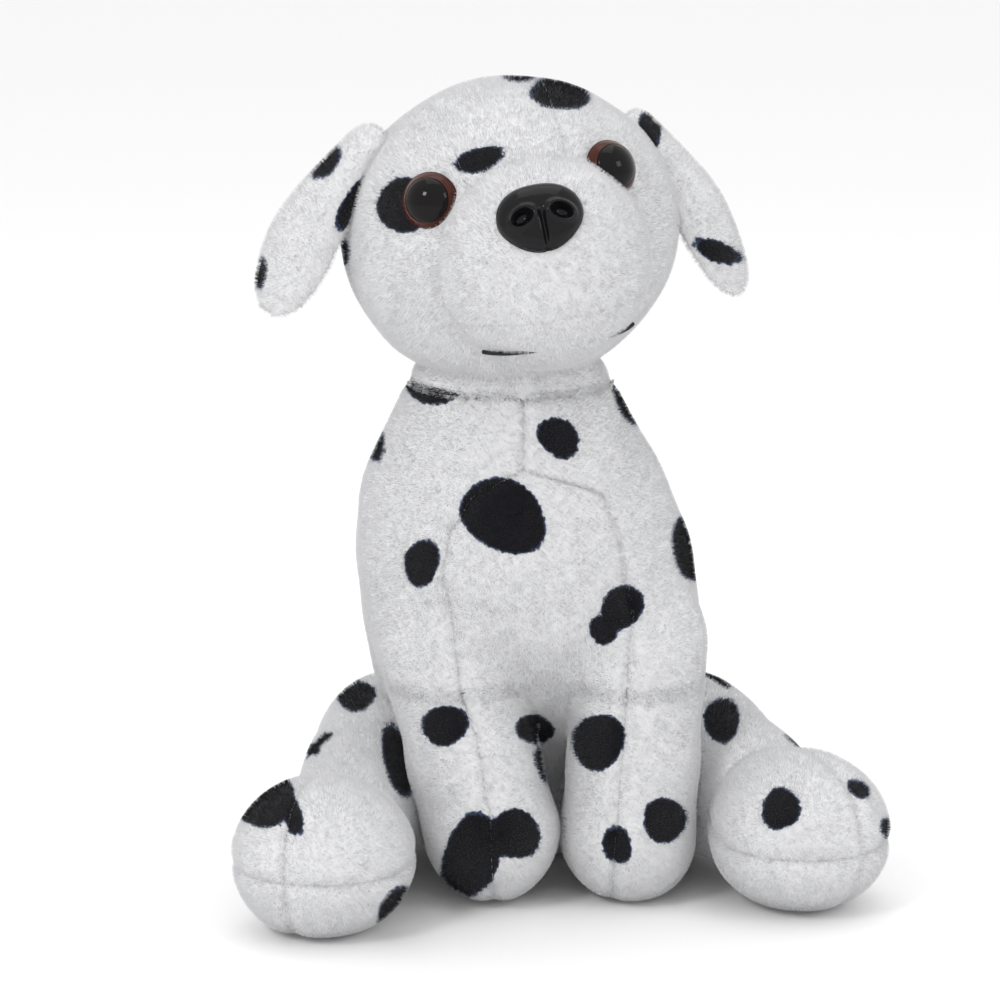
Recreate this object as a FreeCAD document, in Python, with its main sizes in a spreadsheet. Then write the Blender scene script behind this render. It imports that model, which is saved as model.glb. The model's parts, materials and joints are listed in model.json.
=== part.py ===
import FreeCAD, Part
import math
import os

# A sitting plush dog: sewn fabric skins over stuffing, jointed where the soft toy bends.
# Millimetres, +Z up, the dog faces -Y and rests on Z = 0.
# Design coordinates have X = 0 and Y = 0 near the seat; every sub-part's Placement then
# shifts it so that the origin is under the middle of the whole dog's box.

Vector = FreeCAD.Vector
Placement = FreeCAD.Placement
Rotation = FreeCAD.Rotation
X_AXIS = Vector(1, 0, 0)
Y_AXIS = Vector(0, 1, 0)
Z_AXIS = Vector(0, 0, 1)
BIG = 400.0
SIDES = ("left", "right")
CAP_ANGLES = (78, 56, 30)

# Driving dimensions. "left" and "right" are the dog's own: its left is +X.
SIZES = {
    "origin_x": 0.9, "origin_y": 7.9,
    "skin": 1.6, "joint_gap": 0.8, "limb_gap": 2.2, "swing_well_len": 60.0, "thread_r": 0.4,
    # neck ball, the head's pivot
    "neck_x": -10.0, "neck_y": -12.0, "neck_z": 112.0, "neck_r": 18.0,
    # head, turned and tilted about the pivot; the head's features are given from its centre
    "head_turn": 9.5, "head_tilt": -9.0,
    "head_x": 4.0, "head_y": -5.8, "head_z": 34.5,
    "head_rx": 35.5, "head_ry": 34.0, "head_rz": 32.0, "head_gusset": 18.0,
    "muzzle_x": 2.0, "muzzle_y": -24.5, "muzzle_z": -3.0, "muzzle_r": 21.0, "chin_drop": 10.0,
    "mouth_dz": -16.5, "mouth_sweep": 150.0,
    # safety eyes and moulded nose
    "eye_x": 19.1, "eye_y": -25.2, "eye_z": 13.2, "eye_turn": 24.0, "eye_raise": 14.0,
    "eye_r": 6.0, "dome_rise": 4.4, "pupil_r": 4.5, "pupil_seat": 1.6,
    "shank_r": 1.6, "shank_len": 9.0, "washer_r": 6.0, "washer_t": 1.2, "eye_washer_back": 2.6, "nose_washer_back": 3.4,
    "thread_lift": 0.15,
    "nose_up": 33.0, "nose_raise": 27.0, "nose_sunk": 0.8,
    "nose_w": 18.0, "nose_drop": 14.0, "nose_t": 4.0,
    "nostril_x": 4.2, "nostril_r": 1.5, "nostril_deep": 1.4,
    # ears
    "ear_len": 42.0, "ear_w": 21.0, "ear_t": 5.0, "ear_y": 2.5,
    "ear_left_x": 35.2, "ear_left_z": 12.6, "ear_left_droop": 61.0,
    "ear_right_x": -29.8, "ear_right_z": 21.2, "ear_right_droop": 46.0,
    # front legs: pivots, lean inwards and forwards, radii along the leg
    "front_left_x": 18.0, "front_right_x": -23.5, "front_y": -21.0, "front_z": 50.0,
    "front_left_lean": 4.0, "front_right_lean": 15.0,
    "front_left_forward": 8.0, "front_right_forward": 13.0,
    "front_r": 14.5, "front_wrist_r": 13.6, "front_paw_r": 14.8,
    "front_wrist_at": 20.0, "front_paw_at": 36.5, "front_swing_back": 10.0,
    # hind legs: hips, splay outwards, radii along the leg, foot ball
    "hip_left_x": 29.5, "hip_right_x": -35.5, "hip_y": 12.0, "hip_z": 21.5, "hip_r": 18.5, "thigh_well_at": 9.0, "thigh_well_r": 19.7,
    "hind_left_splay": 29.0, "hind_right_splay": 14.0,
    "hind_left_reach": 48.5, "hind_right_reach": 61.5, "ankle_at": 25.0, "ankle_end": 40.0,
    "ankle_r": 12.8, "foot_half_w": 19.2, "foot_half_h": 17.0, "foot_half_l": 19.0,
    "foot_drop": 5.1, "sole_top": 14.0,
    # tail
    "tail_x": -4.5, "tail_y": 45.0, "tail_z": 27.0, "tail_r": 6.5, "tail_tip_r": 3.6,
    "tail_len": 44.0, "tail_raise": 38.0,
    # pellet pouch in the seat
    "pouch_x": -4.5, "pouch_y": 26.5, "pouch_z": 16.0,
    "pouch_rx": 15.0, "pouch_ry": 11.0, "pouch_rz": 12.0, "pouch_t": 0.5,
    # belly gusset between the two side panels
    "gusset_w": 38.0, "gusset_top": 96.0, "back_seam_x": -3.9,
    "stitch_len": 3.2, "stitch_step": 4.6, "stitch_low": 46.0,
}

# Torso cross sections from the seat to the neck: height, middle x and y, half width, half depth.
TORSO = (
    (0.0, -4.5, 19.0, 20.0, 15.0),
    (10.0, -4.5, 18.5, 30.0, 22.5),
    (27.0, -4.5, 16.0, 34.5, 27.0),
    (43.0, -4.5, 8.0, 36.0, 30.0),
    (58.0, -5.0, -1.5, 36.5, 33.0),
    (75.0, -6.5, -7.5, 35.5, 31.0),
    (92.0, -8.5, -10.5, 31.5, 27.0),
    (107.0, -10.0, -12.0, 24.0, 21.5),
)
CLOSING_STITCHES = 6

doc = FreeCAD.newDocument("PlushDog")
sheet = doc.addObject("Spreadsheet::Sheet", "Sizes")
parts = {}


def fill_sheet():
    """Writes the driving dimensions and the torso's sections into the spreadsheet."""
    cells = dict(SIZES)
    for index, row in enumerate(TORSO):
        for word, value in zip(("up", "mid_x", "mid_y", "half_w", "half_d"), row):
            cells["torso_%s_%s" % (word, "abcdefgh"[index])] = value
    for line, (alias, value) in enumerate(cells.items(), start=1):
        sheet.set("A%d" % line, alias)
        sheet.set("B%d" % line, str(value))
        sheet.setAlias("B%d" % line, alias)
    doc.recompute()


def size(alias):
    return float(sheet.get(alias))


def cell(alias):
    return "Sizes." + alias


def bind(obj, **expressions):
    for name, expression in expressions.items():
        obj.setExpression(name, expression)
    return obj


def unique(name):
    """A document object's inner name; Labels are set only on the finished sub-parts."""
    return "shape_" + name


# ---- construction shapes, all in design coordinates ----

def ellipsoid(name, place, half_x, half_y, half_z):
    obj = doc.addObject("Part::Ellipsoid", unique(name))
    obj.Placement = place
    obj.Angle1 = -90
    obj.Angle2 = 90
    obj.Angle3 = 360
    return bind(obj, Radius1=half_z, Radius2=half_x, Radius3=half_y)


def ball(name, centre, radius):
    """A sphere with its poles at its two sides, away from the seams."""
    obj = doc.addObject("Part::Sphere", unique(name))
    obj.Placement = Placement(centre, Rotation(Y_AXIS, 90))
    return bind(obj, Radius=radius)


def rod(name, place, radius, length):
    obj = doc.addObject("Part::Cylinder", unique(name))
    obj.Placement = place
    return bind(obj, Radius=radius, Height=length)


def half_space(name, place):
    """A large box whose near face passes through the place's origin, filling its local +Z side."""
    obj = doc.addObject("Part::Box", unique(name))
    obj.Length = BIG
    obj.Width = BIG
    obj.Height = BIG
    obj.Placement = place * Placement(Vector(-BIG / 2, -BIG / 2, 0), Rotation())
    return obj


def loft(name, sections):
    """A solid through ellipses, each (place, half width expression, half depth expression)."""
    rings = []
    for index, (place, half_w, half_d) in enumerate(sections):
        ring = doc.addObject("Part::Ellipse", unique("%s_ring_%d" % (name, index)))
        ring.Placement = place
        rings.append(bind(ring, MajorRadius=half_w, MinorRadius=half_d))
    obj = doc.addObject("Part::Loft", unique(name))
    obj.Sections = rings
    obj.Solid = True
    obj.Ruled = False
    return obj


def cut(name, base, *tools):
    for index, tool in enumerate(tools):
        obj = doc.addObject("Part::Cut", unique("%s_cut_%d" % (name, index)))
        obj.Base = base
        obj.Tool = tool
        base = obj
    return base


def common(name, *shapes):
    obj = doc.addObject("Part::MultiCommon", unique(name + "_common"))
    obj.Shapes = list(shapes)
    return obj


def fuse(name, *shapes):
    obj = doc.addObject("Part::MultiFuse", unique(name + "_fuse"))
    obj.Shapes = list(shapes)
    return obj


def halves(name, shape, place):
    """The two parts of a shape on the +Z and the -Z side of a plane through the place's origin."""
    near = half_space(name + "_over", place)
    far = half_space(name + "_under", place * Placement(Vector(), Rotation(X_AXIS, 180)))
    return common(name + "_front", shape, near), common(name + "_back", shape, far)


def finish(name, obj):
    """Names a finished sub-part. Its shape may also cut its neighbours, so it stays where it is."""
    obj.Label = name
    parts[name] = obj
    return obj


def frame_along(origin, direction, across):
    """A local frame at origin with +Z along direction and +X as near to across as it can be."""
    return Placement(origin, Rotation(across, Vector(), direction, "ZXY"))


# ---- places that several sub-parts share ----

def neck_pivot():
    return Vector(size("neck_x"), size("neck_y"), size("neck_z"))


def head_frame():
    turn = Rotation(Z_AXIS, size("head_turn")) * Rotation(Y_AXIS, size("head_tilt"))
    at_pivot = Placement(neck_pivot(), turn)
    centre = Vector(size("head_x"), size("head_y"), size("head_z"))
    return at_pivot * Placement(centre, Rotation())


def sign(side):
    return 1 if side == "left" else -1


def front_frame(side):
    """Origin at the shoulder pivot, +Z down along the leg, +X across it."""
    lean = math.tan(math.radians(size("front_%s_lean" % side)))
    forward = math.tan(math.radians(size("front_%s_forward" % side)))
    down = Vector(-sign(side) * lean, -forward, -1)
    pivot = Vector(size("front_%s_x" % side), size("front_y"), size("front_z"))
    return frame_along(pivot, down, X_AXIS)


def hind_frame(side):
    """Origin at the hip pivot, +Z forwards and outwards along the leg, +X across it."""
    splay = math.radians(size("hind_%s_splay" % side))
    drop = size("foot_drop") / size("hind_%s_reach" % side)
    along = Vector(sign(side) * math.sin(splay), -math.cos(splay), -drop)
    pivot = Vector(size("hip_%s_x" % side), size("hip_y"), size("hip_z"))
    return frame_along(pivot, along, Vector(math.cos(splay), sign(side) * math.sin(splay), 0))


def foot_centre(side):
    return hind_frame(side).multVec(Vector(0, 0, size("hind_%s_reach" % side)))


def tail_frame():
    raised = math.radians(size("tail_raise"))
    along = Vector(0, math.cos(raised), math.sin(raised))
    return frame_along(Vector(size("tail_x"), size("tail_y"), size("tail_z")), along, X_AXIS)


def station(frame, along, radius):
    """A round loft section at a distance along a limb's frame, with its radius expression."""
    return (frame * Placement(Vector(0, 0, along), Rotation()), radius, radius)


def round_end(frame, at, radius_alias, less, forwards):
    """Sections that close a limb's end as part of a ball centred at a distance along its frame."""
    radius = size(radius_alias) - less
    rings = []
    for angle in CAP_ANGLES if not forwards else reversed(CAP_ANGLES):
        slope = math.radians(angle)
        along = at + (1 if forwards else -1) * radius * math.sin(slope)
        expression = "(%s - %g) * cos(%d)" % (cell(radius_alias), less, angle)
        rings.append(station(frame, along, expression))
    return rings


# ---- torso ----

def torso_loft(name, less, turned=0):
    """The torso's smooth outline, or the same outline set in by the skin's thickness.

    turned=180 puts the surface's own seam line on the right, so that it stays off the left panel."""
    sections = []
    last = len(TORSO) - 1
    for index in range(len(TORSO)):
        letter = "abcdefgh"[index]
        height = size("torso_up_" + letter)
        if index == 0:
            height += less
        centre = Vector(size("torso_mid_x_" + letter), size("torso_mid_y_" + letter), height)
        half_w = "%s - %g" % (cell("torso_half_w_" + letter), less)
        half_d = "%s - %g" % (cell("torso_half_d_" + letter), less)
        spin = Rotation(Z_AXIS, turned)
        sections.append((Placement(centre, spin), half_w, half_d))
        if index == last and less:
            above = Placement(centre + Vector(0, 0, less), spin)
            sections.append((above, half_w, half_d))
    return loft(name, sections)


def joint_wells(name):
    """Spaces in the torso for the neck ball, the shoulders and hips, and the tail's root."""
    wells = [ball(name + "_neck", neck_pivot(), "%s + %s" % (cell("neck_r"), cell("joint_gap")))]
    for side in SIDES:
        shoulder = "%s + %s" % (cell("front_r"), cell("limb_gap"))
        frame = front_frame(side)
        back = Placement(frame.Base, Rotation(X_AXIS, size("front_swing_back")) * frame.Rotation)
        wells.append(ball("%s_shoulder_%s" % (name, side), frame.Base, shoulder))
        wells.append(rod("%s_swing_%s" % (name, side), back, shoulder + " - 0.3", cell("swing_well_len")))
        hip = "%s + %s" % (cell("hip_r"), cell("limb_gap"))
        wells.append(ball("%s_hip_%s" % (name, side), hind_frame(side).Base, hip))
        thigh = hind_frame(side).multVec(Vector(0, 0, size("thigh_well_at")))
        wells.append(ball("%s_thigh_%s" % (name, side), thigh, cell("thigh_well_r")))
    root = "%s + %s" % (cell("tail_r"), cell("joint_gap"))
    wells.append(ball(name + "_tail", tail_frame().Base, root))
    return wells


def gusset_slab(name):
    """The block that the chest and belly gusset is cut with: a strip at the front, below the chest seam."""
    obj = doc.addObject("Part::Box", unique(name))
    obj.Placement = Placement(Vector(size("tail_x") - size("gusset_w") / 2, -BIG, -1), Rotation())
    return bind(obj, Length=cell("gusset_w"), Width="%g" % BIG, Height=cell("gusset_top") + " + 1")


def make_torso():
    skin = size("skin")
    outer = torso_loft("torso_outer", 0)
    inner = torso_loft("torso_inner", skin)
    wells = joint_wells("well")
    solid = cut("torso_solid", outer, *wells)
    slab = gusset_slab("gusset_slab")
    finish("chest_and_belly_gusset", cut("gusset", common("gusset", solid, slab), inner))
    for side, turned in (("left", 180), ("right", 0)):
        name = "body_side_" + side
        away = half_space(name + "_half", Placement(Vector(size("back_seam_x"), 0, 0),
                                                    Rotation(Z_AXIS, X_AXIS * sign(side))))
        whole = torso_loft(name + "_outer", 0, turned)
        filling = torso_loft(name + "_inner", skin, turned)
        half = common(name + "_solid", whole, away)
        finish(name, cut(name, half, slab, *wells, filling))

    centre = Placement(Vector(size("pouch_x"), size("pouch_y"), size("pouch_z")), Rotation())
    bag = ellipsoid("bag", centre, cell("pouch_rx"), cell("pouch_ry"), cell("pouch_rz"))
    hollow = ["%s - %s" % (cell("pouch_r" + axis), cell("pouch_t")) for axis in "xyz"]
    fill = ellipsoid("bag_fill", centre, *hollow)
    finish("pellet_pouch", cut("pouch", bag, fill))
    finish("pellet_fill", common("pellets", fill, bag))

    cap = half_space("above_torso", Placement(Vector(0, 0, size("torso_up_h")), Rotation()))
    finish("torso_stuffing", cut("torso_stuffing", inner, cap, bag, *wells))
    make_closing_stitches(outer)


def make_closing_stitches(outer):
    """Short hand stitches across the seam down the middle of the back, where the toy was filled."""
    doc.recompute()
    stitches = []
    middle = size("tail_x")
    for index in range(CLOSING_STITCHES):
        height = size("stitch_low") + index * size("stitch_step")
        ray = Part.makeLine(Vector(middle, 0, height), Vector(middle, BIG, height))
        back_y = max(vertex.Y for vertex in outer.Shape.common(ray).Vertexes)
        start = Vector(middle - size("stitch_len") / 2, back_y + size("thread_r") + size("thread_lift"), height)
        place = Placement(start, Rotation(Z_AXIS, X_AXIS))
        stitches.append(rod("stitch_%d" % index, place, cell("thread_r"), cell("stitch_len")))
    finish("closing_seam_stitches", fuse("stitches", *stitches))


# ---- neck and head ----

def make_neck():
    finish("neck_stuffing", ball("neck", neck_pivot(), cell("neck_r")))


def muzzle_local():
    """The middle of the muzzle's ball, from the head's centre."""
    return Vector(size("muzzle_x"), size("muzzle_y"), size("muzzle_z"))


def eye_frame(side):
    """Origin at the middle of the eye's back face, +Z out of the face."""
    out = Rotation(Z_AXIS, sign(side) * size("eye_turn")) * Rotation(X_AXIS, 90 - size("eye_raise"))
    centre = Vector(sign(side) * size("eye_x"), size("eye_y"), size("eye_z"))
    return head_frame() * Placement(centre, out)


def nose_frame():
    """Origin at the middle of the nose's back face, +Z out of the muzzle, +Y up."""
    reach = size("muzzle_r") - size("nose_sunk")
    up = math.radians(size("nose_up"))
    out = Vector(-size("muzzle_x"), -reach * math.cos(up), reach * math.sin(up))
    return head_frame() * Placement(muzzle_local() + out, Rotation(X_AXIS, 90 - size("nose_raise")))


def origin_plane(body, role):
    return [feature for feature in body.Origin.OriginFeatures if feature.Role == role][0]


def new_sketch(body, name, role):
    sketch = body.newObject("Sketcher::SketchObject", name)
    sketch.AttachmentSupport = [(origin_plane(body, role), "")]
    sketch.MapMode = "FlatFace"
    return sketch


def radius_circle(sketch, name, centre, radius, expression):
    """A circle whose radius is bound to the sheet."""
    import Sketcher
    index = sketch.addGeometry(Part.Circle(centre, Z_AXIS, radius), False)
    number = sketch.addConstraint(Sketcher.Constraint("Radius", index, radius))
    sketch.renameConstraint(number, name)
    sketch.setExpression("Constraints." + name, expression)
    return index


def turned_body(name, points, arc_to=None):
    """A PartDesign body turned about Z from a half outline of (radius, height) points.

    arc_to gives the middle point of a round stretch between the last two points."""
    body = doc.addObject("PartDesign::Body", unique(name))
    sketch = new_sketch(body, unique(name) + "_outline", "XZ_Plane")
    corners = [Vector(radius, height, 0) for radius, height in points]
    for start, end in zip(corners, corners[1:]):
        if arc_to and end == corners[-1]:
            sketch.addGeometry(Part.Arc(start, Vector(arc_to[0], arc_to[1], 0), end), False)
        else:
            sketch.addGeometry(Part.LineSegment(start, end), False)
    sketch.addGeometry(Part.LineSegment(corners[-1], corners[0]), False)
    turned = body.newObject("PartDesign::Revolution", unique(name) + "_turned")
    turned.Profile = sketch
    turned.ReferenceAxis = (sketch, ["V_Axis"])
    turned.Angle = 360
    return body


def dome(radius, low, rise):
    """The middle point of a dome's outline from (radius, low) up to (0, rise)."""
    height = rise - low
    ball_r = (height ** 2 + radius ** 2) / (2 * height)
    half = math.asin(radius / ball_r) / 2
    return (ball_r * math.sin(half), rise - ball_r * (1 - math.cos(half)))


def make_eye(side):
    """A safety eye: a brown ring with its post, the black pupil set in it, and the lock washer."""
    frame = eye_frame(side)
    seat = size("pupil_seat")
    pupil_r = size("pupil_r")
    eye_r = size("eye_r")
    rise = size("dome_rise")
    ball_r = (rise ** 2 + eye_r ** 2) / (2 * rise)
    rim = rise - ball_r + math.sqrt(ball_r ** 2 - pupil_r ** 2)
    post = [(0, -size("shank_len")), (size("shank_r"), -size("shank_len")), (size("shank_r"), 0),
            (eye_r, 0), (eye_r, 0.6), (pupil_r, rim), (pupil_r, seat), (0, seat)]
    iris = turned_body("iris_" + side, post)
    cap = [(0, seat), (pupil_r, seat), (pupil_r, rim), (0, rise)]
    pupil = turned_body("pupil_" + side, cap, dome(pupil_r, rim, rise))
    iris.Placement = frame
    pupil.Placement = frame
    behind = Vector(0, 0, -size("skin") - size("washer_t") - size("eye_washer_back"))
    washer = make_washer("eye_washer_" + side, frame * Placement(behind, Rotation()))
    return iris, pupil, washer


def make_washer(name, place):
    """A flat lock washer pushed on a post behind the fabric."""
    washer = doc.addObject("PartDesign::Body", unique(name))
    rings = new_sketch(washer, unique(name) + "_rings", "XY_Plane")
    radius_circle(rings, "outside", Vector(), size("washer_r"), cell("washer_r"))
    radius_circle(rings, "hole", Vector(), size("shank_r") + 0.05, cell("shank_r") + " + 0.05")
    plate = washer.newObject("PartDesign::Pad", unique(name) + "_pad")
    plate.Profile = rings
    plate.setExpression("Length", cell("washer_t"))
    washer.Placement = place
    return washer


def make_nose():
    """A moulded nose: a domed oval plate with two nostrils, on a post with its lock washer."""
    frame = nose_frame()
    back = half_space("behind_nose", frame * Placement(Vector(), Rotation(X_AXIS, 180)))
    bulge = ellipsoid("nose_bulge", frame, cell("nose_w") + " / 2", cell("nose_drop") + " / 2",
                      cell("nose_t"))
    plate = cut("nose_plate", bulge, back)
    nostrils = []
    for side in SIDES:
        mouth_of_hole = Vector(sign(side) * size("nostril_x"), 0, size("nose_t") - size("nostril_deep"))
        nostrils.append(rod("nostril_" + side, frame * Placement(mouth_of_hole, Rotation()),
                            cell("nostril_r"), cell("nose_t")))
    foot_of_post = frame * Placement(Vector(0, 0, -size("shank_len")), Rotation())
    post = rod("nose_post", foot_of_post, cell("shank_r"), cell("shank_len") + " + 0.5")
    body = fuse("nose", cut("nose_holes", plate, *nostrils), post)
    behind = Vector(0, 0, -size("skin") - size("washer_t") - size("nose_washer_back"))
    return body, make_washer("nose_washer", frame * Placement(behind, Rotation()))


def make_mouth(frame, muzzle_centre):
    """The stitched mouth line: a thread along a level circle low on the muzzle."""
    reach = size("muzzle_r") + size("thread_r") + size("thread_lift")
    ring_r = math.sqrt(reach ** 2 - size("mouth_dz") ** 2)
    obj = doc.addObject("Part::Torus", unique("mouth"))
    obj.Radius1 = ring_r
    obj.setExpression("Radius2", cell("thread_r"))
    obj.Angle3 = size("mouth_sweep")
    centre = muzzle_centre + Vector(0, 0, size("mouth_dz"))
    start = Rotation(Z_AXIS, -90 - size("mouth_sweep") / 2)
    obj.Placement = frame * Placement(centre, start)
    return obj


def make_head():
    skin = size("skin")
    frame = head_frame()
    muzzle_centre = muzzle_local()
    muzzle_place = frame.multVec(muzzle_centre)
    full = [cell("head_rx"), cell("head_ry"), cell("head_rz")]
    less = [expression + " - " + cell("skin") for expression in full]
    outer = ellipsoid("head_outer", frame, *full)
    inner = ellipsoid("head_inner", frame, *less)
    muzzle_outer = ball("muzzle_outer", muzzle_place, cell("muzzle_r"))
    muzzle_inner = ball("muzzle_inner", muzzle_place, "%s - %s" % (cell("muzzle_r"), cell("skin")))
    socket = ball("head_socket", neck_pivot(), "%s + %s" % (cell("neck_r"), cell("joint_gap")))

    eyes = [make_eye(side) for side in SIDES]
    eye_pieces = [piece for eye in eyes for piece in eye]
    nose_pieces = make_nose()
    doc.recompute()
    shell = cut("head_shell", outer, inner, muzzle_outer, socket, *eye_pieces)
    half = size("head_gusset") / 2
    slots = {
        "left": half_space("head_left", frame * Placement(Vector(half, 0, 0), Rotation(Z_AXIS, X_AXIS))),
        "right": half_space("head_right",
                            frame * Placement(Vector(-half, 0, 0), Rotation(Z_AXIS, X_AXIS * -1))),
    }
    finish("head_gusset", cut("head_gusset", shell, slots["left"], slots["right"]))
    for side in SIDES:
        finish("head_side_" + side, common("head_side_" + side, shell, slots[side]))

    muzzle = cut("muzzle_solid", muzzle_outer, outer)
    level = frame * Placement(muzzle_centre + Vector(0, 0, -size("chin_drop")), Rotation())
    upper, lower = halves("mouth_level", muzzle, level)
    finish("muzzle_panel", cut("muzzle", upper, muzzle_inner, *nose_pieces, *eye_pieces))
    finish("chin_panel", cut("chin", lower, muzzle_inner))
    finish("mouth_thread", make_mouth(frame, muzzle_centre))

    filling = fuse("head_filling", inner, muzzle_inner)
    finish("head_stuffing", cut("head_stuffing", filling, socket, *eye_pieces, *nose_pieces))
    for side, (iris, pupil, washer) in zip(SIDES, eyes):
        finish("eye_" + side, iris)
        finish("pupil_" + side, pupil)
        finish("eye_washer_" + side, washer)
    finish("nose", nose_pieces[0])
    finish("nose_washer", nose_pieces[1])


# ---- ears ----

def ear_frame(side):
    """Origin at the ear's root, +X along the ear towards its tip, +Z out of its outer face."""
    root = Vector(size("ear_%s_x" % side), size("ear_y"), size("ear_%s_z" % side))
    droop = size("ear_%s_droop" % side)
    if side == "left":
        turn = Rotation(Y_AXIS, droop)
    else:
        turn = Rotation(Y_AXIS, -droop) * Rotation(Z_AXIS, 180)
    return head_frame() * Placement(root, turn)


def make_ear(side):
    frame = ear_frame(side)
    middle = frame * Placement(Vector(size("ear_len") / 2, 0, 0), Rotation())
    half = "%s / 2"
    flap = ellipsoid("ear_" + side, middle, half % cell("ear_len"), half % cell("ear_w"),
                     half % cell("ear_t"))
    outer, inner = halves("ear_halves_" + side, flap, middle)
    finish("ear_outer_" + side, outer)
    finish("ear_inner_" + side, inner)


# ---- front legs ----

def front_loft(name, side, less):
    frame = front_frame(side)
    rings = round_end(frame, 0, "front_r", less, False)
    for at, radius in ((0, "front_r"), (size("front_wrist_at"), "front_wrist_r"),
                       (size("front_paw_at"), "front_paw_r")):
        rings.append(station(frame, at, "%s - %g" % (cell(radius), less)))
    rings += round_end(frame, size("front_paw_at"), "front_paw_r", less, True)
    return loft(name, rings)


def make_front_leg(side):
    """A front leg: an outer and an inner fabric half round the stuffing, flat under the paw."""
    skin = size("skin")
    floor = half_space("floor_front_" + side, Placement(Vector(), Rotation(X_AXIS, 180)))
    outer = cut("front_%s_outer" % side, front_loft("front_%s_full" % side, side, 0), floor)
    under = half_space("under_front_" + side, Placement(Vector(0, 0, skin), Rotation(X_AXIS, 180)))
    inner = cut("front_%s_inner" % side, front_loft("front_%s_core" % side, side, skin), under)
    shell = cut("front_%s_shell" % side, outer, inner)
    frame = front_frame(side)
    away = frame * Placement(Vector(), Rotation(Z_AXIS, X_AXIS * sign(side)))
    outside, inside = halves("front_halves_" + side, shell, away)
    finish("front_leg_outer_" + side, outside)
    finish("front_leg_inner_" + side, inside)
    finish("front_leg_stuffing_" + side, inner)


# ---- hind legs ----

def thigh_loft(name, side, less):
    frame = hind_frame(side)
    rings = round_end(frame, 0, "hip_r", less, False)
    for at, radius in ((0, "hip_r"), (size("ankle_at"), "ankle_r"), (size("ankle_end"), "ankle_r")):
        rings.append(station(frame, at, "%s - %g" % (cell(radius), less)))
    return loft(name, rings)


def foot_frame(side):
    splay = Rotation(Z_AXIS, sign(side) * size("hind_%s_splay" % side))
    return Placement(foot_centre(side), splay)


def foot_ball(name, side, less):
    """The foot's rounded form, made with its poles at its two sides."""
    lying = foot_frame(side) * Placement(Vector(), Rotation(Y_AXIS, 90))
    return ellipsoid(name, lying, "%s - %g" % (cell("foot_half_h"), less),
                     "%s - %g" % (cell("foot_half_l"), less), "%s - %g" % (cell("foot_half_w"), less))


def make_hind_leg(side):
    """A hind leg: the thigh's fabric, the foot's two upper halves and sole, and the stuffing."""
    skin = size("skin")
    floor = half_space("floor_hind_" + side, Placement(Vector(), Rotation(X_AXIS, 180)))
    under = half_space("under_hind_" + side, Placement(Vector(0, 0, skin), Rotation(X_AXIS, 180)))
    thigh = cut("thigh_%s_full" % side, thigh_loft("thigh_%s" % side, side, 0), floor)
    thigh_core = cut("thigh_%s_core" % side, thigh_loft("thigh_%s_in" % side, side, skin), under)
    foot = cut("foot_%s_full" % side, foot_ball("foot_%s" % side, side, 0), floor)
    foot_core = cut("foot_%s_core" % side, foot_ball("foot_%s_in" % side, side, skin), under)
    core = fuse("hind_%s_core" % side, thigh_core, foot_core)
    finish("thigh_skin_" + side, cut("thigh_skin_" + side, thigh, core, foot))
    seam = Placement(Vector(0, 0, size("sole_top")), Rotation())
    upper, sole = halves("sole_seam_" + side, foot, seam)
    away = foot_frame(side) * Placement(Vector(), Rotation(Z_AXIS, X_AXIS * sign(side)))
    outside, inside = halves("foot_seam_" + side, upper, away)
    panels = {"foot_sole_": sole, "foot_upper_outer_": outside, "foot_upper_inner_": inside}
    for name, panel in panels.items():
        finish(name + side, cut(name + side, panel, foot_core, thigh_core))
    finish("hind_leg_stuffing_" + side, core)


# ---- tail ----

def tail_cone(name, less):
    """The tail's tapering roll, or its filling, set in by less at both ends and all round."""
    cone = doc.addObject("Part::Cone", unique(name))
    cone.Placement = tail_frame() * Placement(Vector(0, 0, less), Rotation())
    return bind(cone, Radius1="%s - %g" % (cell("tail_r"), less),
                Radius2="%s - %g" % (cell("tail_tip_r"), less),
                Height="%s - %g" % (cell("tail_len"), 2 * less))


def make_tail():
    """The tail: a left and a right fabric half round a thin roll of stuffing."""
    outer = tail_cone("tail_outer", 0)
    inner = tail_cone("tail_inner", size("skin"))
    shell = cut("tail_shell", outer, inner)
    middle = Placement(Vector(size("tail_x"), 0, 0), Rotation(Z_AXIS, X_AXIS))
    left, right = halves("tail_halves", shell, middle)
    finish("tail_skin_left", left)
    finish("tail_skin_right", right)
    finish("tail_stuffing", inner)


def check_and_write():
    """Stops on any failed or invalid object, then writes each sub-part, moved to the dog's frame."""
    doc.recompute()
    for obj in doc.Objects:
        bad = [state for state in obj.State if state in ("Invalid", "Error")]
        if bad:
            raise RuntimeError("%s is %s" % (obj.Name, bad))
    os.makedirs("parts", exist_ok=True)
    box = FreeCAD.BoundBox()
    to_dog = Placement(Vector(-size("origin_x"), -size("origin_y"), 0), Rotation())
    for name, obj in parts.items():
        if obj.Shape.isNull() or not obj.Shape.isValid() or not obj.Shape.Solids:
            raise RuntimeError("%s has no valid solid" % name)
        shape = obj.Shape.copy()
        shape.Placement = to_dog * shape.Placement
        box.add(obj.Shape.BoundBox)
        shape.exportStep("parts/%s.step" % name)
        print("%-26s %d solid(s) %9.1f mm3" % (name, len(shape.Solids), shape.Volume))
    box.move(to_dog.Base)
    print(len(parts), "sub-parts; box", [round(value, 2) for value in (
        box.XMin, box.YMin, box.ZMin, box.XMax, box.YMax, box.ZMax)])


fill_sheet()
make_torso()
make_neck()
make_head()
for side in SIDES:
    make_ear(side)
    make_front_leg(side)
    make_hind_leg(side)
make_tail()
check_and_write()
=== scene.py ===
"""A sitting plush dog with black spots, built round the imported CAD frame.

Toy coordinates are millimetres: x to the dog's left, y backwards, z up, measured from a point
that the neck's pivot fixes. place() turns them into the frame's metres."""

import json
import math

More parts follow.
